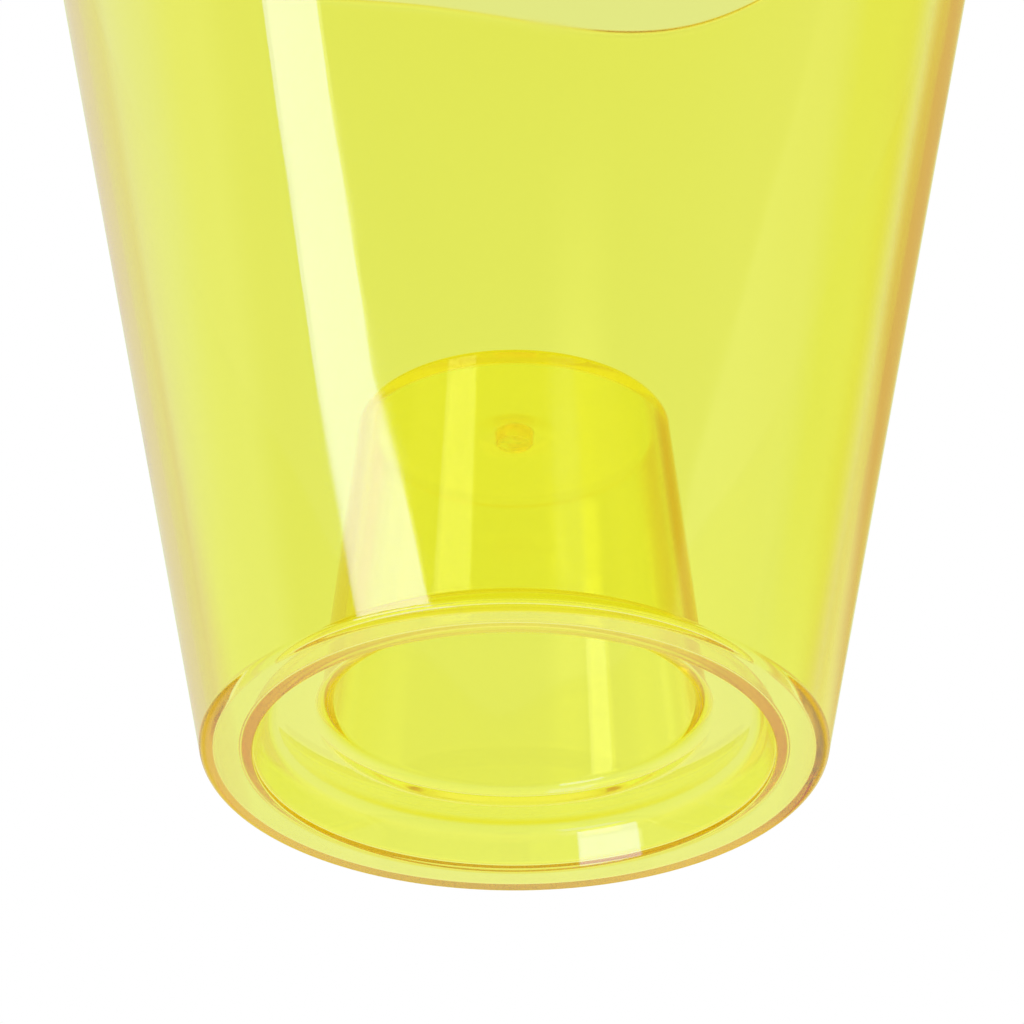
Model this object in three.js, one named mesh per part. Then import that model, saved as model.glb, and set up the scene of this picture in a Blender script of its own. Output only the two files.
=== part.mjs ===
// A clear plastic orchid pot: one thin moulding with a tapered side, a waved lip, a flat standing ring, a shallow
// recess in the base and a hollow pedestal that lifts the inner pot into the light. Millimetres, +Z up. The origin
// is the middle of the circle that the pot stands on, and a crest of the lip lies over +Y.
import * as THREE from 'three';

// Driving dimensions: the side and its lip
const footRadius = 37.3; // outside of the side wall, carried down to the standing plane
const rimRadius = 65.4; // outside of the side wall at the middle height of the lip
const rimHeight = 148.5; // middle height of the lip
const waveHeight = 3.6; // how far a crest of the lip stands above the middle height
const waveCount = 5; // crests round the lip
const wall = 1.7; // the moulding's wall
const lipRounding = 0.8;
const rimBand = 6; // plain band of the rim below the lip's troughs

// Driving dimensions: the standing ring and the recess inside it
const footWidth = 6.15; // across the standing ring, from outer to inner corner before rounding
const footFloor = 1.5; // thickness of the standing ring, up to the groove between the side and the recess wall
const footOuterRounding = 1.3;
const footInnerRounding = 0.3;
const recessDepth = 5.3; // from the standing plane up to the underside of the base
const recessInset = 1.05; // how far the recess wall leans in over its depth
const recessRounding = 2.6; // under the bend from the recess wall into the base
const shoulderRounding = 4.2; // over the same bend
const ledgeTurn = 2.7; // stretch of the flat base that belongs to the recess wall's bend

// Driving dimensions: the pedestal and its hollow
const ledgeWidth = 8.3; // flat base between the recess wall and the hollow, corner to corner
const pedestalHeight = 45.15;
const pedestalDraft = 6.5; // degrees that the pedestal's wall leans in
const mouthRounding = 1.5;
const pedestalFillet = 0.8; // between the floor and the pedestal
const pedestalFoot = 1.2; // upstand of the floor that carries the pedestal's wall
const pedestalEdge = 0.8; // rounding of the pedestal's top edge

// Driving dimensions: the gate mark under the pedestal's top
const dimpleRadius = 5.4;
const dimpleDepth = 0.4;
const gateRadius = 2.3;
const gateHeight = 0.7;
const gateRounding = 0.3;

// Fineness of the round forms
const turnSteps = 100; // steps round the pot
const gateSteps = 40; // steps round the gate mark
const arcStep = THREE.MathUtils.degToRad(24); // largest turn between two points of a rounded corner

// What follows from the driving dimensions
const sideLean = (rimRadius - footRadius) / rimHeight;
const sideAcross = wall * Math.hypot(1, sideLean);
const recessMouth = footRadius - footWidth;
const recessLean = recessInset / recessDepth;
const recessAcross = wall * Math.hypot(1, recessLean);
const ledgeOuter = recessMouth - recessInset;
const ledgeSplit = ledgeOuter - ledgeTurn;
const mouthRadius = ledgeOuter - ledgeWidth;
const pedestalLean = Math.tan(THREE.MathUtils.degToRad(pedestalDraft));
const pedestalAcross = wall * Math.hypot(1, pedestalLean);
const floorTop = recessDepth + wall;
const pedestalStart = floorTop + pedestalFoot;
const discUnder = pedestalHeight - wall;
const bandStart = rimHeight - waveHeight - rimBand;

// Radii of the leaning surfaces at a height
const sideOuter = (z) => footRadius + sideLean * z;
const sideInner = (z) => sideOuter(z) - sideAcross;
const recessUnder = (z) => recessMouth - recessLean * z;
const recessUpper = (z) => recessUnder(z) + recessAcross;
const hollow = (z) => mouthRadius - pedestalLean * (z - recessDepth);
const pedestal = (z) => hollow(z) + pedestalAcross;

// The points of one corner: the corner itself, or an arc that touches both of its edges. The roundings above are
// small enough for the edges they lie on.
function cornerPoints(before, corner, after, rounding) {
  if (rounding === 0) return [corner];
  const back = before.clone().sub(corner);
  const ahead = after.clone().sub(corner);
  const half = back.angleTo(ahead) / 2;
  const reach = rounding / Math.tan(half);
  const inward = back.clone().normalize().add(ahead.clone().normalize()).normalize();
  const centre = corner.clone().addScaledVector(inward, rounding / Math.sin(half));
  const start = corner.clone().addScaledVector(back.normalize(), reach);
  const end = corner.clone().addScaledVector(ahead.normalize(), reach);
  const from = start.clone().sub(centre);
  const turn = Math.PI - 2 * half;
  const side = Math.sign(from.cross(end.clone().sub(centre)));
  const steps = Math.ceil(turn / arcStep);
  return Array.from({ length: steps + 1 }, (_, step) =>
    start.clone().rotateAround(centre, (side * turn * step) / steps));
}

// A section through a wall: corners as [radius, height, rounding], anticlockwise, closed on itself
function ringSection(corners) {
  const spots = corners.map(([radius, height]) => new THREE.Vector2(radius, height));
  const count = corners.length;
  const points = corners.flatMap(([, , rounding = 0], index) =>
    cornerPoints(spots[(index + count - 1) % count], spots[index], spots[(index + 1) % count], rounding));
  return [...points, points[0].clone()];
}

// A section that starts and ends on the axis
function discSection(corners) {
  const spots = corners.map(([radius, height]) => new THREE.Vector2(radius, height));
  return corners.flatMap(([, , rounding = 0], index) =>
    cornerPoints(spots[index - 1], spots[index], spots[index + 1], rounding));
}

// Turns a section about the Z axis
function revolve(section, steps = turnSteps) {
  return new THREE.LatheGeometry(section, steps).rotateX(Math.PI / 2);
}

// Waves the top of the rim band: a point is lifted in proportion to its height in the band, up the leaning wall
function waveLip(geometry) {
  const position = geometry.getAttribute('position');
  for (let index = 0; index < position.count; index += 1) {
    const x = position.getX(index);
    const y = position.getY(index);
    const z = position.getZ(index);
    const share = (z - bandStart) / (rimHeight - bandStart);
    const lift = share * waveHeight * Math.cos(waveCount * Math.atan2(x, y));
    const widen = 1 + (sideLean * lift) / Math.hypot(x, y);
    position.setXYZ(index, x * widen, y * widen, z + lift);
  }
  geometry.computeVertexNormals();
  return geometry;
}

function wavyRim() {
  return waveLip(revolve(ringSection([
    [sideInner(bandStart), bandStart],
    [sideOuter(bandStart), bandStart],
    [sideOuter(rimHeight), rimHeight, lipRounding],
    [sideInner(rimHeight), rimHeight, lipRounding],
  ])));
}

function sideWall() {
  return revolve(ringSection([
    [sideInner(footFloor), footFloor],
    [sideOuter(footFloor), footFloor],
    [sideOuter(bandStart), bandStart],
    [sideInner(bandStart), bandStart],
  ]));
}

function footRing() {
  return revolve(ringSection([
    [recessUnder(footFloor), footFloor],
    [recessMouth, 0, footInnerRounding],
    [footRadius, 0, footOuterRounding],
    [sideOuter(footFloor), footFloor],
  ]));
}

function recessWall() {
  return revolve(ringSection([
    [ledgeSplit, recessDepth],
    [ledgeOuter, recessDepth, recessRounding],
    [recessUnder(footFloor), footFloor],
    [recessUpper(footFloor), footFloor],
    [recessUpper(floorTop), floorTop, shoulderRounding],
    [ledgeSplit, floorTop],
  ]));
}

function basePlate() {
  return revolve(ringSection([
    [mouthRadius, recessDepth, mouthRounding],
    [ledgeSplit, recessDepth],
    [ledgeSplit, floorTop],
    [pedestal(floorTop), floorTop, pedestalFillet],
    [pedestal(pedestalStart), pedestalStart],
    [hollow(pedestalStart), pedestalStart],
  ]));
}

function pedestalWall() {
  return revolve(ringSection([
    [hollow(pedestalStart), pedestalStart],
    [pedestal(pedestalStart), pedestalStart],
    [pedestal(discUnder), discUnder],
    [hollow(discUnder), discUnder],
  ]));
}

// The dimple is flat over the gate mark, and slopes out from there to its edge
function pedestalTop() {
  return revolve(discSection([
    [0, discUnder + dimpleDepth],
    [gateRadius, discUnder + dimpleDepth],
    [dimpleRadius, discUnder],
    [pedestal(discUnder), discUnder],
    [pedestal(pedestalHeight), pedestalHeight, pedestalEdge],
    [0, pedestalHeight],
  ]));
}

function gateMark() {
  const root = discUnder + dimpleDepth;
  return revolve(discSection([
    [0, root - gateHeight],
    [gateRadius, root - gateHeight, gateRounding],
    [gateRadius, root],
    [0, root],
  ]), gateSteps);
}

function clearPlastic(colour) {
  return new THREE.MeshStandardMaterial({
    color: colour,
    roughness: 0.06,
    metalness: 0,
    transparent: true,
    opacity: 0.6,
    side: THREE.DoubleSide,
  });
}

const lemon = 0xe2e84a;
const lemonDeep = 0xe2d83a; // the same plastic where more of it lies in the line of sight

const group = new THREE.Group();
const regions = {
  wavy_rim: [wavyRim(), lemon],
  side_wall: [sideWall(), lemon],
  foot_ring: [footRing(), lemonDeep],
  recess_wall: [recessWall(), lemonDeep],
  base_plate: [basePlate(), lemon],
  pedestal_wall: [pedestalWall(), lemon],
  pedestal_top: [pedestalTop(), lemon],
  gate_mark: [gateMark(), lemonDeep],
};
for (const [name, [geometry, colour]] of Object.entries(regions)) {
  const mesh = new THREE.Mesh(geometry, clearPlastic(colour));
  mesh.name = name;
  group.add(mesh);
}

export default group;
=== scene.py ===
"""Dresses the clear lemon-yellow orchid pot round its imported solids, in metres and in their frame.

The pot is one moulding, so one closed shell of clear plastic stands for all of its solids. The shell is a
section turned about the axis, from the middle of its underside to the middle of its top disc, with its lip
waved. The studio has a pale floor, soft boxes and a camera that looks up at the pot from below.
"""

from __future__ import annotations

import logging
import math
from dataclasses import dataclass, field
from enum import Enum
from typing import ClassVar

import bpy
import numpy as np
from mathutils import Euler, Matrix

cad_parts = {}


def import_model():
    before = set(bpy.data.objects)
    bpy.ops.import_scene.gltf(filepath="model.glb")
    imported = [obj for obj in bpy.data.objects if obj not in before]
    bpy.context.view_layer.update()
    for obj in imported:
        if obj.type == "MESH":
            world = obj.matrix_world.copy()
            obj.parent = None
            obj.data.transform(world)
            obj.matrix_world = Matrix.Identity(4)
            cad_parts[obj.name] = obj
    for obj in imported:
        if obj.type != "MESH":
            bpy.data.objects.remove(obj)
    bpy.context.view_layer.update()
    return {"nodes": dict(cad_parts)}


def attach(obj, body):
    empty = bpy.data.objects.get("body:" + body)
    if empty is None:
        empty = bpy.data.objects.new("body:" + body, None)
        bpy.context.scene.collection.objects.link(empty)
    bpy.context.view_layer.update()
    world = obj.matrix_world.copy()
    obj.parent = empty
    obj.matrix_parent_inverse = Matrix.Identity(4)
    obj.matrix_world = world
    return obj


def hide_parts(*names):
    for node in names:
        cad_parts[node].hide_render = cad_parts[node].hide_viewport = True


LOG = logging.getLogger("orchid_pot")
MM = 0.001
PICTURE_SIDE = 1024  # pixels, the picture that the camera is set for
SENSOR = 36.0  # millimetres
SHORTEST_RUN = 4  # supports, the shortest straight run that has them

Colour = tuple[float, float, float]


@dataclass(frozen=True)
class Corner:
    """One corner of the pot's section.

    Attributes:
        radius: Distance from the axis, in metres.
        height: Height above the standing plane, in metres.
        rounding: Radius of the arc that rounds the corner, in metres; 0 leaves it sharp.
    """

    radius: float
    height: float
    rounding: float = 0.0

    @property
    def spot(self) -> np.ndarray:
        """The corner as a (radius, height) pair."""
        return np.array([self.radius, self.height])


def rounded_section(corners: list[Corner], turn_step: float, run_step: float, support: float) -> np.ndarray:
    """Draws the section through its corners as an open row of points.

    A rounded corner is an arc that touches both edges: its centre lies on the bisector, at the rounding over
    the sine of half the corner's angle. A straight run is split evenly. It has one more point close to each
    of its ends, so that the smooth shading of the arcs doesn't reach into it, unless it is too short.

    Args:
        corners: The corners in order; the first and the last are the ends.
        turn_step: Largest turn between two points of an arc, in radians.
        run_step: Largest distance between two points of a straight run, in metres.
        support: Distance of the extra points from the ends of a straight run, in metres.

    Returns:
        The points as rows of (radius, height).
    """
    pieces = [corners[0].spot[None, :]]
    for before, corner, after in zip(corners, corners[1:], corners[2:]):
        if corner.rounding == 0:
            pieces.append(corner.spot[None, :])
            continue
        back = before.spot - corner.spot
        ahead = after.spot - corner.spot
        back_unit = back / np.linalg.norm(back)
        ahead_unit = ahead / np.linalg.norm(ahead)
        half = math.acos(float(np.clip(back_unit @ ahead_unit, -1, 1))) / 2
        inward = (back_unit + ahead_unit) / np.linalg.norm(back_unit + ahead_unit)
        centre = corner.spot + inward * corner.rounding / math.sin(half)
        start = corner.spot + back_unit * corner.rounding / math.tan(half) - centre
        end = corner.spot + ahead_unit * corner.rounding / math.tan(half) - centre
        turn = math.pi - 2 * half
        side = np.sign(start[0] * end[1] - start[1] * end[0])
        angle = side * np.linspace(0, turn, math.ceil(turn / turn_step) + 1)
        cos, sin = np.cos(angle), np.sin(angle)
        arc = np.stack([start[0] * cos - start[1] * sin, start[0] * sin + start[1] * cos], axis=1)
        pieces.append(centre + arc)
    pieces.append(corners[-1].spot[None, :])
    points = [pieces[0]]
    for before, after in zip(pieces, pieces[1:]):
        run = after[0] - before[-1]
        length = float(np.linalg.norm(run))
        share = np.linspace(0, 1, math.ceil(length / run_step) + 1)[1:-1]
        if length > SHORTEST_RUN * support:
            share = np.concatenate([[support / length], share, [1 - support / length]])
        points.append(before[-1] + share[:, None] * run)
        points.append(after)
    return np.concatenate(points)


def turned_mesh(name: str, radius: np.ndarray, height: np.ndarray, bearing: np.ndarray) -> bpy.types.Mesh:
    """Makes a closed mesh from a section carried round the axis.

    Args:
        name: Name of the mesh.
        radius: Radius of each point, rows along the section and columns round the axis. The first and last
            rows are on the axis and become one vertex each.
        height: Height of each point, in the same layout.
        bearing: Angle of each column from +Y, clockwise seen from above.

    Returns:
        The mesh, smooth, with its faces pointing out.
    """
    rows, turns = radius.shape
    spots = np.stack([radius * np.sin(bearing), radius * np.cos(bearing), height], axis=2)
    inner = spots[1:-1].reshape(-1, 3)
    poles = np.array([[0, 0, height[0].mean()], [0, 0, height[-1].mean()]])
    vertices = np.concatenate([inner, poles])
    here = np.arange(turns)
    there = (here + 1) % turns
    row = (np.arange(rows - 3) * turns)[:, None]
    quads = np.stack([row + here, row + turns + here, row + turns + there, row + there], axis=2)
    last = (rows - 3) * turns
    under = np.stack([np.full(turns, len(inner)), here, there], axis=1)
    over = np.stack([np.full(turns, len(inner) + 1), last + there, last + here], axis=1)
    loops = np.concatenate([quads.ravel(), under.ravel(), over.ravel()])
    sizes = np.concatenate([np.full(quads.size // 4, 4), np.full(2 * turns, 3)])
    mesh = bpy.data.meshes.new(name)
    mesh.vertices.add(len(vertices))
    mesh.vertices.foreach_set("co", vertices.astype(np.float32).ravel())
    mesh.loops.add(len(loops))
    mesh.loops.foreach_set("vertex_index", loops.astype(np.int32))
    mesh.polygons.add(len(sizes))
    mesh.polygons.foreach_set("loop_start", np.concatenate([[0], np.cumsum(sizes)[:-1]]).astype(np.int32))
    mesh.polygons.foreach_set("use_smooth", np.ones(len(sizes), dtype=bool))
    mesh.update(calc_edges=True)
    mesh.validate()
    return mesh


@dataclass(frozen=True)
class Grain:
    """A noise over the piece, and the stretch of its values that makes a mask.

    Attributes:
        scale: Scale of the noise, per metre.
        detail: Finer noises that are added to it.
        low: Value at which the mask is 0.
        high: Value at which the mask is 1.
    """

    scale: float
    detail: float
    low: float = 0.0
    high: float = 1.0


HAZE_PATCHES = Grain(60, 3, 0.45, 0.7)
SCUFF_MARKS = Grain(1100, 4, 0.55, 0.72)
GATE_BLOTCHES = Grain(500, 2, 0.3, 0.6)
WIDE_RIPPLE = Grain(40, 1)
TORN_SCAR = Grain(900, 2)
SCUFFS_END = 0.3 * MM  # height above the standing plane
SCUFFS_FULL = 0.1 * MM


def handled_surface() -> bpy.types.NodeTree:
    """Gives the node group of a polished moulding that has been handled a little.

    The roughness is the polish, plus soft patches of haze from a noise, plus fine scuffs from a finer noise
    where the piece stands. The height is a wide noise, plus a fine one where the gate was broken off: near
    the axis and below the underside of the pedestal's top. The tint turns to the gate's there, in blotches.

    Returns:
        The group. Its inputs are the roughnesses Polish, Haze and Scuffs, the heights Ripple and Scar in
        metres, Gate Radius and Gate Level in metres, and the colours Tint and Gate Tint. Its outputs are
        Tint, Roughness and Height.
    """
    group = bpy.data.node_groups.new("handled_surface", "ShaderNodeTree")
    for name in ("Polish", "Haze", "Scuffs", "Ripple", "Scar", "Gate Radius", "Gate Level"):
        group.interface.new_socket(name, in_out="INPUT", socket_type="NodeSocketFloat")
    for name in ("Tint", "Gate Tint"):
        group.interface.new_socket(name, in_out="INPUT", socket_type="NodeSocketColor")
    group.interface.new_socket("Tint", in_out="OUTPUT", socket_type="NodeSocketColor")
    for name in ("Roughness", "Height"):
        group.interface.new_socket(name, in_out="OUTPUT", socket_type="NodeSocketFloat")
    nodes, links = group.nodes, group.links
    inputs = nodes.new("NodeGroupInput")
    outputs = nodes.new("NodeGroupOutput")
    place = nodes.new("ShaderNodeTexCoord")
    split = nodes.new("ShaderNodeSeparateXYZ")
    links.new(place.outputs["Object"], split.inputs[0])

    def noise(grain: Grain) -> bpy.types.NodeSocket:
        """Adds the grain's noise over the piece.

        Args:
            grain: The grain.

        Returns:
            The socket of its plain values.
        """
        node = nodes.new("ShaderNodeTexNoise")
        node.inputs["Scale"].default_value = grain.scale
        node.inputs["Detail"].default_value = grain.detail
        links.new(place.outputs["Object"], node.inputs["Vector"])
        return node.outputs[0]

    def mask(grain: Grain) -> bpy.types.NodeSocket:
        """Adds the grain's noise with a smooth step over its stretch of values.

        Args:
            grain: The grain.

        Returns:
            The socket of the mask.
        """
        node = nodes.new("ShaderNodeMapRange")
        node.interpolation_type = "SMOOTHSTEP"
        node.inputs["From Min"].default_value = grain.low
        node.inputs["From Max"].default_value = grain.high
        links.new(noise(grain), node.inputs["Value"])
        return node.outputs["Result"]

    def combine(operation: str, *sources: bpy.types.NodeSocket) -> bpy.types.NodeSocket:
        """Adds a row of Math nodes over the sources, from the first on.

        Args:
            operation: What each node does.
            *sources: The sockets to combine.

        Returns:
            The socket of the last node.
        """
        total = sources[0]
        for source in sources[1:]:
            node = nodes.new("ShaderNodeMath")
            node.operation = operation
            links.new(total, node.inputs[0])
            links.new(source, node.inputs[1])
            total = node.outputs[0]
        return total

    standing = nodes.new("ShaderNodeMapRange")
    standing.inputs["From Min"].default_value = SCUFFS_END
    standing.inputs["From Max"].default_value = SCUFFS_FULL
    links.new(split.outputs["Z"], standing.inputs["Value"])
    patches = combine("MULTIPLY", inputs.outputs["Haze"], mask(HAZE_PATCHES))
    scuffs = combine("MULTIPLY", inputs.outputs["Scuffs"], mask(SCUFF_MARKS), standing.outputs["Result"])
    links.new(combine("ADD", inputs.outputs["Polish"], patches, scuffs), outputs.inputs["Roughness"])
    level = nodes.new("ShaderNodeVectorMath")
    level.operation = "MULTIPLY"
    level.inputs[1].default_value = (1, 1, 0)
    reach = nodes.new("ShaderNodeVectorMath")
    reach.operation = "LENGTH"
    links.new(place.outputs["Object"], level.inputs[0])
    links.new(level.outputs["Vector"], reach.inputs[0])
    inside = combine("LESS_THAN", reach.outputs["Value"], inputs.outputs["Gate Radius"])
    below = combine("LESS_THAN", split.outputs["Z"], inputs.outputs["Gate Level"])
    wide = combine("MULTIPLY", inputs.outputs["Ripple"], noise(WIDE_RIPPLE))
    torn = combine("MULTIPLY", inputs.outputs["Scar"], noise(TORN_SCAR), inside, below)
    links.new(combine("ADD", wide, torn), outputs.inputs["Height"])
    tint = nodes.new("ShaderNodeMix")
    tint.data_type = "RGBA"
    links.new(combine("MULTIPLY", mask(GATE_BLOTCHES), inside, below), tint.inputs["Factor"])
    links.new(inputs.outputs["Tint"], tint.inputs["A"])
    links.new(inputs.outputs["Gate Tint"], tint.inputs["B"])
    links.new(tint.outputs["Result"], outputs.inputs["Tint"])
    return group


@dataclass(frozen=True)
class ClearPlastic:
    """The pot's finish: clear, polished, tinted plastic.

    Attributes:
        name: Name of the material.
        tint: Share of each colour that one wall passes at its faces.
        gate_tint: The same where the gate was broken off, in blotches.
        bulk: Colour of the plastic in its depth, for the absorption.
        density: Strength of the absorption, per metre.
        bend: Index of refraction.
        polish: Roughness of the polished faces.
        haze: Roughness that handling adds in soft patches.
        scuffs: Roughness that the fine scuffs of the standing ring add.
        ripple: Height of the moulding's faint unevenness, in metres.
        scar: Height of the torn surface where the gate was broken off, in metres.
        gate_radius: Radius of that surface, in metres.
        gate_level: Height above the standing plane that it lies below, in metres.
    """

    name: str = "clear_yellow_plastic"
    tint: Colour = (0.99, 0.99, 0.55)
    gate_tint: Colour = (0.98, 0.68, 0.03)
    bulk: Colour = (0.9985, 0.9875, 0.2)
    density: float = 200.0
    bend: float = 1.57
    polish: float = 0.02
    haze: float = 0.03
    scuffs: float = 0.18
    ripple: float = 0.03 * MM
    scar: float = 0.3 * MM
    gate_radius: float = 2.4 * MM
    gate_level: float = 44.2 * MM

    def material(self) -> bpy.types.Material:
        """Makes the material: refraction with a plain absorption inside, under a lightly handled surface.

        Returns:
            The material.
        """
        material = bpy.data.materials.new(self.name)
        material.use_nodes = True
        nodes, links = material.node_tree.nodes, material.node_tree.links
        shader = nodes["Principled BSDF"]
        shader.inputs["Metallic"].default_value = 0
        shader.inputs["Transmission Weight"].default_value = 1
        shader.inputs["IOR"].default_value = self.bend
        surface = nodes.new("ShaderNodeGroup")
        surface.node_tree = handled_surface()
        values = {
            "Polish": self.polish,
            "Haze": self.haze,
            "Scuffs": self.scuffs,
            "Ripple": self.ripple,
            "Scar": self.scar,
            "Gate Radius": self.gate_radius,
            "Gate Level": self.gate_level,
            "Tint": (*self.tint, 1),
            "Gate Tint": (*self.gate_tint, 1),
        }
        for socket, value in values.items():
            surface.inputs[socket].default_value = value
        links.new(surface.outputs["Tint"], shader.inputs["Base Color"])
        links.new(surface.outputs["Roughness"], shader.inputs["Roughness"])
        bump = nodes.new("ShaderNodeBump")
        bump.inputs["Distance"].default_value = 1
        links.new(surface.outputs["Height"], bump.inputs["Height"])
        links.new(bump.outputs["Normal"], shader.inputs["Normal"])
        absorption = nodes.new("ShaderNodeVolumeAbsorption")
        absorption.inputs["Color"].default_value = (*self.bulk, 1)
        absorption.inputs["Density"].default_value = self.density
        links.new(absorption.outputs["Volume"], nodes["Material Output"].inputs["Volume"])
        return material


@dataclass
class PotShell:
    """The moulding: its sizes in metres, its section and its mesh.

    The sizes are those of the solids, with a few small exceptions that the reflections in the picture ask
    for. The recess wall leans in more and bends more tightly, and the flat base is narrower by as much as
    that moves it. The hollow's mouth is rounder, and the gate mark hangs lower.
    """

    foot_radius: float = 37.3 * MM
    rim_radius: float = 65.4 * MM
    rim_height: float = 148.5 * MM
    wave_height: float = 3.6 * MM
    wave_count: int = 5
    wall: float = 1.7 * MM
    lip_rounding: float = 0.8 * MM
    rim_band: float = 6.0 * MM
    foot_width: float = 6.15 * MM
    foot_floor: float = 1.5 * MM
    foot_outer_rounding: float = 1.3 * MM
    foot_inner_rounding: float = 0.3 * MM
    groove_outer_rounding: float = 0.3 * MM
    groove_inner_rounding: float = 0.6 * MM
    recess_depth: float = 5.3 * MM
    recess_inset: float = 1.65 * MM
    recess_rounding: float = 1.6 * MM
    shoulder_rounding: float = 4.2 * MM
    ledge_width: float = 7.7 * MM
    pedestal_height: float = 45.15 * MM
    pedestal_draft: float = math.radians(6.5)
    mouth_rounding: float = 2.4 * MM
    pedestal_fillet: float = 0.8 * MM
    pedestal_edge: float = 0.8 * MM
    hollow_rounding: float = 0.3 * MM
    dimple_radius: float = 5.4 * MM
    dimple_depth: float = 0.4 * MM
    gate_radius: float = 2.3 * MM
    gate_height: float = 1.6 * MM
    gate_rounding: float = 0.3 * MM
    turns: int = 420
    turn_step: float = math.radians(8)
    run_step: float = 12 * MM
    support: float = 0.04 * MM
    finish: ClearPlastic = field(default_factory=ClearPlastic)

    @property
    def side_lean(self) -> float:
        """How far the side wall leans out per unit of height."""
        return (self.rim_radius - self.foot_radius) / self.rim_height

    def corners(self) -> list[Corner]:
        """Gives the section's corners.

        Returns:
            The corners, from the middle of the underside to the middle of the top disc.
        """
        side_across = self.wall * math.hypot(1, self.side_lean)
        recess_mouth = self.foot_radius - self.foot_width
        recess_lean = self.recess_inset / self.recess_depth
        recess_across = self.wall * math.hypot(1, recess_lean)
        ledge_outer = recess_mouth - self.recess_inset
        mouth_radius = ledge_outer - self.ledge_width
        pedestal_lean = math.tan(self.pedestal_draft)
        pedestal_across = self.wall * math.hypot(1, pedestal_lean)
        floor_top = self.recess_depth + self.wall
        disc_under = self.pedestal_height - self.wall
        gate_root = disc_under + self.dimple_depth

        def side(height: float) -> float:
            """Outer radius of the side wall at a height."""
            return self.foot_radius + self.side_lean * height

        def recess(height: float) -> float:
            """Radius of the recess wall's underside at a height."""
            return recess_mouth - recess_lean * height

        def hollow(height: float) -> float:
            """Radius of the pedestal's hollow at a height."""
            return mouth_radius - pedestal_lean * (height - self.recess_depth)

        return [
            Corner(0, gate_root - self.gate_height),
            Corner(self.gate_radius, gate_root - self.gate_height, self.gate_rounding),
            Corner(self.gate_radius, gate_root, self.gate_rounding / 2),
            Corner(self.gate_radius + self.gate_rounding, gate_root, self.gate_rounding / 3),
            Corner(self.dimple_radius, disc_under, self.dimple_radius),
            Corner(hollow(disc_under), disc_under, self.hollow_rounding),
            Corner(mouth_radius, self.recess_depth, self.mouth_rounding),
            Corner(ledge_outer, self.recess_depth, self.recess_rounding),
            Corner(recess_mouth, 0, self.foot_inner_rounding),
            Corner(self.foot_radius, 0, self.foot_outer_rounding),
            Corner(side(self.rim_height), self.rim_height, self.lip_rounding),
            Corner(side(self.rim_height) - side_across, self.rim_height, self.lip_rounding),
            Corner(side(self.foot_floor) - side_across, self.foot_floor, self.groove_outer_rounding),
            Corner(recess(self.foot_floor) + recess_across, self.foot_floor, self.groove_inner_rounding),
            Corner(recess(floor_top) + recess_across, floor_top, self.shoulder_rounding),
            Corner(hollow(floor_top) + pedestal_across, floor_top, self.pedestal_fillet),
            Corner(hollow(self.pedestal_height) + pedestal_across, self.pedestal_height, self.pedestal_edge),
            Corner(0, self.pedestal_height),
        ]

    def build(self) -> bpy.types.Object:
        """Makes the shell.

        A point of the rim band is lifted along the leaning wall in proportion to its height in the band, by a
        cosine of its bearing.

        Returns:
            The shell.
        """
        section = rounded_section(self.corners(), self.turn_step, self.run_step, self.support)
        bearing = np.linspace(0, 2 * math.pi, self.turns, endpoint=False)
        radius = np.repeat(section[:, :1], self.turns, axis=1)
        height = np.repeat(section[:, 1:], self.turns, axis=1)
        band_start = self.rim_height - self.wave_height - self.rim_band
        share = np.clip((height - band_start) / (self.rim_height - band_start), 0, None)
        lift = share * self.wave_height * np.cos(self.wave_count * bearing)
        mesh = turned_mesh("pot_shell", radius + self.side_lean * lift, height + lift, bearing)
        shell = bpy.data.objects.new("pot_shell", mesh)
        bpy.context.scene.collection.objects.link(shell)
        mesh.materials.append(self.finish.material())
        LOG.info("pot_shell: %d points in the section, %d faces", len(section), len(mesh.polygons))
        return shell


class Glow(Enum):
    """Radiance of the studio's lights and cards, in its three colours."""

    KEY = (2.5, 2.5, 6.0)
    COOL = (1.1, 1.15, 3.0)
    WARM = (1.55, 1.55, 1.0)
    CREAM = (0.92, 0.91, 0.68)
    LILAC = (0.86, 0.86, 1.00)
    DIM = (0.86, 0.84, 0.52)
    OLIVE = (0.76, 0.72, 0.10)
    ROSE = (0.77, 0.68, 0.72)
    SAND = (0.85, 0.80, 0.47)
    UMBER = (0.70, 0.45, 0.20)


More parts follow.
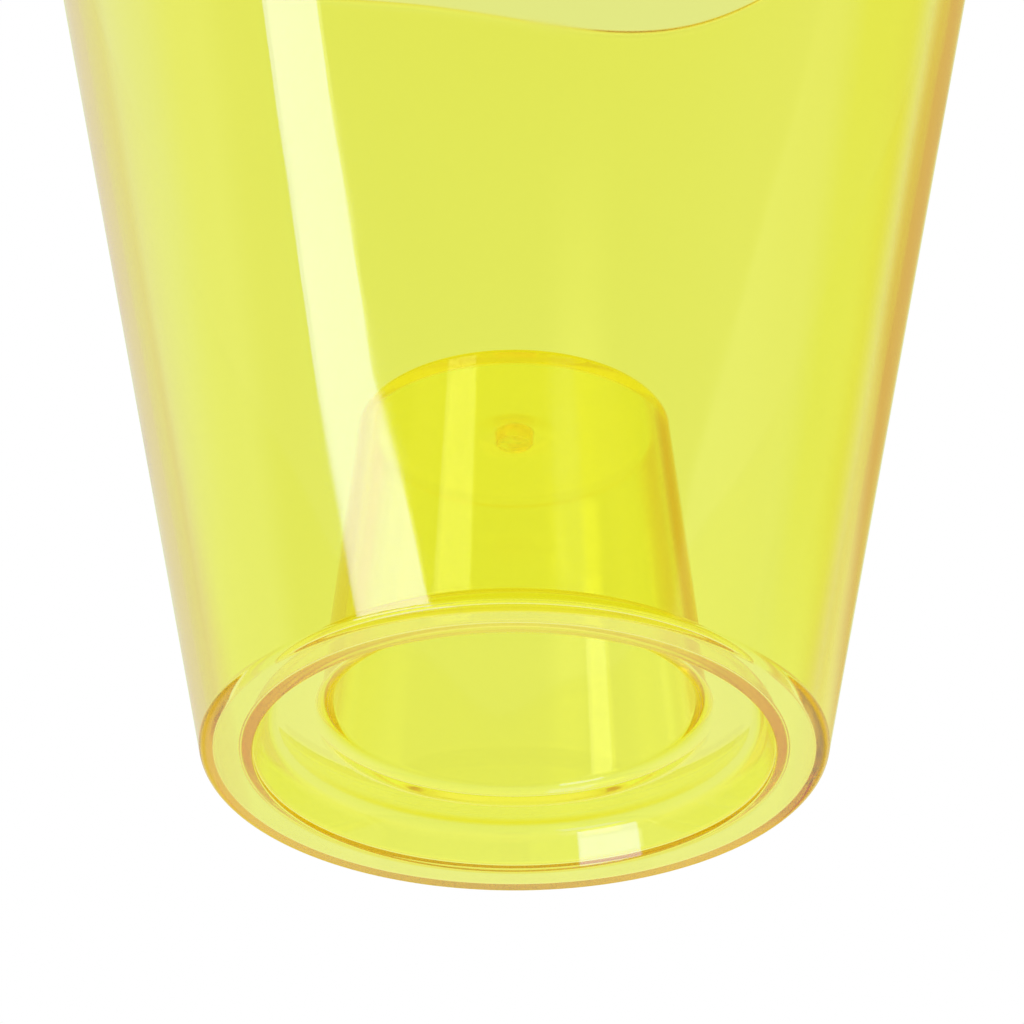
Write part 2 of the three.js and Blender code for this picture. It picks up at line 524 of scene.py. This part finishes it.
@dataclass(frozen=True)
class Card:
    """A curved light or card that stands round the pot, placed by the directions of its rungs.

    Attributes:
        name: Name of the card.
        rungs: Lines across the card, from its low end to its high end. A rung is the azimuth and elevation of
            its left end and of its right end, in degrees. Azimuth 0 is towards the camera and grows to its
            left.
        glow: Radiance of its face.
        fade: Share of the card's width and height over which each edge fades out.
    """

    STEPS: ClassVar[int] = 12  # squares across the card and along it

    name: str
    rungs: tuple[tuple[float, float, float, float], ...]
    glow: Glow
    fade: float = 0.02

    def build(self, bearing: float, distance: float) -> bpy.types.Object:
        """Makes the card, which only the pot sees.

        A point of its grid has a direction that is blended from the ends of the rungs by its two shares, and
        lies at the card's distance in that direction.

        Args:
            bearing: Bearing of the camera's line of sight, in radians.
            distance: How far the card stands from the pot's foot, in metres.

        Returns:
            The card.
        """
        share = np.linspace(0, 1, self.STEPS + 1)
        across, along = np.meshgrid(share, share)
        ends = np.radians(np.array(self.rungs))
        place = along[:, 0] * (len(ends) - 1)
        left_turn, left_rise, right_turn, right_rise = (
            np.interp(place, np.arange(len(ends)), ends[:, column])[:, None] for column in range(4)
        )
        azimuth = left_turn * (1 - across) + right_turn * across
        elevation = left_rise * (1 - across) + right_rise * across
        turned = math.pi + bearing + azimuth
        level = np.cos(elevation)
        way = np.stack([level * np.sin(turned), level * np.cos(turned), np.sin(elevation)], axis=2)
        spots = distance * way
        square = np.arange(self.STEPS)
        start = (square[:, None] * (self.STEPS + 1) + square).ravel()
        quads = np.stack([start, start + 1, start + self.STEPS + 2, start + self.STEPS + 1], axis=1)
        mesh = bpy.data.meshes.new(self.name)
        mesh.from_pydata(spots.reshape(-1, 3).tolist(), [], quads.tolist())
        shares = np.stack([across, along], axis=2).reshape(-1, 2)[quads.ravel()]
        mesh.uv_layers.new(name="card").data.foreach_set("uv", shares.astype(np.float32).ravel())
        card = bpy.data.objects.new(self.name, mesh)
        bpy.context.scene.collection.objects.link(card)
        mesh.materials.append(self.material())
        card.visible_camera = False
        card.visible_diffuse = False
        return card

    def material(self) -> bpy.types.Material:
        """Makes the card's material: a glow that fades out to nothing at the edges.

        Returns:
            The material.
        """
        material = bpy.data.materials.new(self.name)
        material.cycles.emission_sampling = "NONE"
        material.use_nodes = True
        nodes, links = material.node_tree.nodes, material.node_tree.links
        nodes.remove(nodes["Principled BSDF"])
        emission = nodes.new("ShaderNodeEmission")
        emission.inputs["Color"].default_value = (*self.glow.value, 1)
        clear = nodes.new("ShaderNodeBsdfTransparent")
        mix = nodes.new("ShaderNodeMixShader")
        edge = nodes.new("ShaderNodeGroup")
        edge.node_tree = soft_edge()
        edge.inputs["Fade"].default_value = self.fade
        links.new(edge.outputs["Mask"], mix.inputs[0])
        links.new(clear.outputs[0], mix.inputs[1])
        links.new(emission.outputs[0], mix.inputs[2])
        links.new(mix.outputs[0], nodes["Material Output"].inputs["Surface"])
        return material


def soft_edge() -> bpy.types.NodeTree:
    """Gives the node group that fades a card out: the product of a smooth step at each of its four edges.

    Returns:
        The group, with the input Fade, a share of the card's size, and the output Mask.
    """
    name = "soft_edge"
    if name in bpy.data.node_groups:
        return bpy.data.node_groups[name]
    group = bpy.data.node_groups.new(name, "ShaderNodeTree")
    group.interface.new_socket("Fade", in_out="INPUT", socket_type="NodeSocketFloat")
    group.interface.new_socket("Mask", in_out="OUTPUT", socket_type="NodeSocketFloat")
    nodes, links = group.nodes, group.links
    inputs = nodes.new("NodeGroupInput")
    outputs = nodes.new("NodeGroupOutput")
    place = nodes.new("ShaderNodeTexCoord")
    split = nodes.new("ShaderNodeSeparateXYZ")
    links.new(place.outputs["UV"], split.inputs[0])
    steps = []
    for axis in ("X", "Y"):
        centred = nodes.new("ShaderNodeMath")
        centred.operation = "PINGPONG"
        centred.inputs[1].default_value = 0.5
        step = nodes.new("ShaderNodeMapRange")
        step.interpolation_type = "SMOOTHSTEP"
        links.new(split.outputs[axis], centred.inputs[0])
        links.new(centred.outputs[0], step.inputs["Value"])
        links.new(inputs.outputs["Fade"], step.inputs["From Max"])
        steps.append(step)
    both = nodes.new("ShaderNodeMath")
    both.operation = "MULTIPLY"
    links.new(steps[0].outputs["Result"], both.inputs[0])
    links.new(steps[1].outputs["Result"], both.inputs[1])
    links.new(both.outputs[0], outputs.inputs["Mask"])
    return group


@dataclass(frozen=True)
class Band:
    """A height in the surroundings and their radiance there.

    Attributes:
        elevation: Elevation of the band's middle, in degrees.
        radiance: Radiance in its three colours, up to PEAK.
    """

    PEAK: ClassVar[float] = 1.25

    elevation: float
    radiance: Colour

    @staticmethod
    def fill(ramp: bpy.types.ColorRamp, bands: tuple[Band, ...]) -> None:
        """Fills a ramp over the elevations, from straight down to straight up, with shares of PEAK.

        Args:
            ramp: The ramp, with its two first elements.
            bands: The bands, from the lowest to the highest.
        """
        ramp.interpolation = "EASE"
        while len(ramp.elements) < len(bands):
            ramp.elements.new(1)
        for element, band in zip(ramp.elements, bands):
            element.position = band.elevation / 180 + 0.5
            element.color = (*(value / Band.PEAK for value in band.radiance), 1)


@dataclass
class Studio:
    """The floor, the light and the camera.

    The camera's place comes from the ellipses of the pot's foot and pedestal in the picture. It looks along
    the bearing, which is turned from +Y clockwise seen from above. The axis column is where the pot's axis
    stands in the picture, in pixels. Each card stands nearer than the one before by a card step, a share of
    the distance, so that no two of them lie in one place.
    """

    bearing: float = math.radians(11)
    camera_out: float = 583.3 * MM
    camera_down: float = 296.6 * MM
    camera_pitch: float = 0.515
    focal_pixels: float = 5503.0
    axis_column: float = 514.4
    nearest: float = 10 * MM
    floor_radius: float = 1.6
    floor_sides: int = 96
    floor_fade: float = 0.5
    floor_drop: float = 0.2 * MM
    floor_grey: float = 0.86
    floor_roughness: float = 0.7
    bounces: int = 200
    transmission_bounces: int = 64
    glossy_bounces: int = 180
    transparent_bounces: int = 16
    clamp: float = 8.0
    card_distance: float = 5.0
    card_step: float = 0.01
    behind: tuple[Band, ...] = (
        Band(-60, (0.87, 0.95, 0.65)),
        Band(-30, (0.95, 0.92, 1.05)),
        Band(-12, (0.84, 0.80, 0.35)),
        Band(12, (0.88, 0.92, 0.70)),
        Band(30, (0.80, 0.87, 0.66)),
        Band(50, (0.83, 0.79, 0.05)),
    )
    in_front: tuple[Band, ...] = (
        Band(-45, (0.87, 1.00, 0.65)),
        Band(-15, (0.86, 0.97, 0.60)),
        Band(10, (0.50, 0.45, 0.15)),
        Band(40, (1.15, 1.08, 1.10)),
        Band(60, (0.80, 0.85, 0.05)),
    )
    side_blend: float = 0.35
    cards: tuple[Card, ...] = (
        Card(
            "side_strip",
            (
                (51.5, 8.2, 23.0, 6.8),
                (56.7, 10.0, 30.0, 8.1),
                (62.6, 13.1, 43.1, 11.4),
                (66.1, 16.6, 49.8, 15.1),
                (69.5, 21.0, 55.0, 20.0),
            ),
            Glow.KEY,
        ),
        Card("pedestal_strip", ((54.0, 39.5, 27.5, 40.5), (54.5, 43.5, 30.5, 44.5)), Glow.KEY, 0.05),
        Card("window_box", ((57.0, -15.0, 27.5, -18.0), (57.0, -1.0, 27.5, -3.0)), Glow.KEY, 0.05),
        Card("low_box", ((60.0, -55.0, 22.0, -55.0), (60.0, -34.0, 22.0, -34.0)), Glow.COOL, 0.1),
        Card("high_glow", ((40.0, 44.0, 12.0, 44.0), (34.0, 57.0, 6.0, 57.0)), Glow.WARM, 0.45),
        Card("right_glow", ((-24.0, 38.0, -52.0, 38.0), (-24.0, 45.0, -52.0, 45.0)), Glow.COOL, 0.3),
        Card("left_wall", ((146.0, 0.0, 78.0, 0.0), (146.0, 45.0, 78.0, 45.0)), Glow.CREAM, 0.2),
        Card("left_band", ((150.0, 16.0, 96.0, 16.0), (150.0, 36.0, 96.0, 36.0)), Glow.LILAC, 0.3),
        Card(
            "right_wall",
            (
                (-52.0, 7.0, -86.0, 7.0),
                (-56.0, 11.2, -90.0, 11.2),
                (-67.5, 14.5, -94.0, 14.5),
                (-79.0, 18.2, -101.0, 18.2),
                (-88.0, 22.0, -108.0, 22.0),
            ),
            Glow.DIM,
            0.08,
        ),
        Card("right_shade", ((-90.0, 10.0, -136.0, 16.0), (-90.0, 30.0, -136.0, 36.0)), Glow.OLIVE, 0.3),
        Card("left_flag", ((171.0, 14.0, 128.0, 14.0), (171.0, 36.0, 128.0, 36.0)), Glow.ROSE, 0.15),
        Card("right_flag", ((-132.0, 14.0, -171.0, 14.0), (-132.0, 36.0, -171.0, 36.0)), Glow.SAND, 0.15),
        Card("right_edge", ((-132.0, 22.5, -171.0, 22.5), (-132.0, 38.0, -171.0, 38.0)), Glow.UMBER, 0.25),
    )

    def camera(self) -> None:
        """Makes the camera, which looks up at the pot from below."""
        data = bpy.data.cameras.new("camera")
        data.sensor_width = SENSOR
        data.lens = self.focal_pixels * SENSOR / PICTURE_SIDE
        data.shift_x = (PICTURE_SIDE / 2 - self.axis_column) / PICTURE_SIDE
        data.clip_start = self.nearest
        camera = bpy.data.objects.new("camera", data)
        camera.location = (
            -self.camera_out * math.sin(self.bearing),
            -self.camera_out * math.cos(self.bearing),
            -self.camera_down,
        )
        camera.rotation_euler = Euler((math.pi / 2 + self.camera_pitch, 0, -self.bearing))
        bpy.context.scene.collection.objects.link(camera)
        bpy.context.scene.camera = camera

    def floor(self) -> None:
        """Makes the pale round floor. It fades out towards its edge, and shows nothing from below."""
        turn = np.linspace(0, 2 * math.pi, self.floor_sides, endpoint=False)
        spots = np.stack([np.cos(turn), np.sin(turn), np.zeros_like(turn)], axis=1) * self.floor_radius
        spots[:, 2] = -self.floor_drop
        mesh = bpy.data.meshes.new("floor")
        mesh.from_pydata(spots.tolist(), [], [tuple(range(len(spots)))])
        floor = bpy.data.objects.new("floor", mesh)
        bpy.context.scene.collection.objects.link(floor)
        material = bpy.data.materials.new("floor")
        material.use_nodes = True
        nodes, links = material.node_tree.nodes, material.node_tree.links
        shader = nodes["Principled BSDF"]
        shader.inputs["Base Color"].default_value = (self.floor_grey, self.floor_grey, self.floor_grey, 1)
        shader.inputs["Roughness"].default_value = self.floor_roughness
        place = nodes.new("ShaderNodeTexCoord")
        length = nodes.new("ShaderNodeVectorMath")
        length.operation = "LENGTH"
        fade = nodes.new("ShaderNodeMapRange")
        fade.interpolation_type = "SMOOTHSTEP"
        fade.inputs["From Min"].default_value = self.floor_fade
        fade.inputs["From Max"].default_value = self.floor_radius
        under = nodes.new("ShaderNodeNewGeometry")
        either = nodes.new("ShaderNodeMath")
        either.operation = "MAXIMUM"
        clear = nodes.new("ShaderNodeBsdfTransparent")
        mix = nodes.new("ShaderNodeMixShader")
        links.new(place.outputs["Object"], length.inputs[0])
        links.new(length.outputs["Value"], fade.inputs["Value"])
        links.new(fade.outputs["Result"], either.inputs[0])
        links.new(under.outputs["Backfacing"], either.inputs[1])
        links.new(either.outputs[0], mix.inputs[0])
        links.new(shader.outputs[0], mix.inputs[1])
        links.new(clear.outputs[0], mix.inputs[2])
        links.new(mix.outputs[0], nodes["Material Output"].inputs["Surface"])
        mesh.materials.append(material)
        floor.visible_glossy = False
        floor.visible_transmission = False
        floor.visible_shadow = False

    def world(self) -> None:
        """Surrounds the pot with soft bands of light, and is plain white to the camera and to the floor.

        The radiance comes from the direction's elevation, with one row of bands behind the pot and one in
        front.
        """
        world = bpy.data.worlds.new("studio")
        bpy.context.scene.world = world
        world.cycles.sampling_method = "NONE"
        world.use_nodes = True
        nodes, links = world.node_tree.nodes, world.node_tree.links
        lit = nodes["Background"]
        lit.inputs["Strength"].default_value = Band.PEAK
        white = nodes.new("ShaderNodeBackground")
        white.inputs["Color"].default_value = (1, 1, 1, 1)
        place = nodes.new("ShaderNodeTexCoord")
        split = nodes.new("ShaderNodeSeparateXYZ")
        rise = nodes.new("ShaderNodeMath")
        rise.operation = "ARCSINE"
        share = nodes.new("ShaderNodeMapRange")
        share.inputs["From Min"].default_value = -math.pi / 2
        share.inputs["From Max"].default_value = math.pi / 2
        level = nodes.new("ShaderNodeVectorMath")
        level.operation = "MULTIPLY"
        level.inputs[1].default_value = (1, 1, 0)
        unit = nodes.new("ShaderNodeVectorMath")
        unit.operation = "NORMALIZE"
        away = nodes.new("ShaderNodeVectorMath")
        away.operation = "DOT_PRODUCT"
        away.inputs[1].default_value = (math.sin(self.bearing), math.cos(self.bearing), 0)
        side = nodes.new("ShaderNodeMapRange")
        side.interpolation_type = "SMOOTHSTEP"
        side.inputs["From Min"].default_value = -self.side_blend
        side.inputs["From Max"].default_value = self.side_blend
        blend = nodes.new("ShaderNodeMix")
        blend.data_type = "RGBA"
        path = nodes.new("ShaderNodeLightPath")
        plain = nodes.new("ShaderNodeMath")
        plain.operation = "MAXIMUM"
        mix = nodes.new("ShaderNodeMixShader")
        links.new(place.outputs["Generated"], split.inputs[0])
        links.new(split.outputs["Z"], rise.inputs[0])
        links.new(rise.outputs[0], share.inputs["Value"])
        for bands, socket in ((self.in_front, blend.inputs["A"]), (self.behind, blend.inputs["B"])):
            ramp = nodes.new("ShaderNodeValToRGB")
            Band.fill(ramp.color_ramp, bands)
            links.new(share.outputs["Result"], ramp.inputs["Fac"])
            links.new(ramp.outputs["Color"], socket)
        links.new(place.outputs["Generated"], level.inputs[0])
        links.new(level.outputs["Vector"], unit.inputs[0])
        links.new(unit.outputs["Vector"], away.inputs[0])
        links.new(away.outputs["Value"], side.inputs["Value"])
        links.new(side.outputs["Result"], blend.inputs["Factor"])
        links.new(blend.outputs["Result"], lit.inputs["Color"])
        links.new(path.outputs["Is Camera Ray"], plain.inputs[0])
        links.new(path.outputs["Is Diffuse Ray"], plain.inputs[1])
        links.new(plain.outputs[0], mix.inputs[0])
        links.new(lit.outputs[0], mix.inputs[1])
        links.new(white.outputs[0], mix.inputs[2])
        links.new(mix.outputs[0], nodes["World Output"].inputs["Surface"])

    def lights(self) -> None:
        """Makes the lights and cards, each a little nearer than the one before."""
        for index, card in enumerate(self.cards):
            card.build(self.bearing, self.card_distance * (1 - index * self.card_step))
            LOG.info("card: %s", card.name)

    def colours(self) -> None:
        """Shows colours as they are, and lets light pass many walls."""
        scene = bpy.context.scene
        scene.view_settings.view_transform = "Standard"
        scene.cycles.max_bounces = self.bounces
        scene.cycles.transmission_bounces = self.transmission_bounces
        scene.cycles.glossy_bounces = self.glossy_bounces
        scene.cycles.transparent_max_bounces = self.transparent_bounces
        scene.cycles.sample_clamp_indirect = self.clamp


def main() -> None:
    """Builds the pot and the studio."""
    logging.basicConfig(level=logging.INFO, format="%(message)s")
    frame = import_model()
    studio = Studio()
    studio.camera()
    studio.world()
    studio.floor()
    studio.lights()
    studio.colours()
    shell = PotShell().build()
    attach(shell, "root")
    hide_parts(*sorted(frame["nodes"]))


if __name__ == "__main__":
    main()
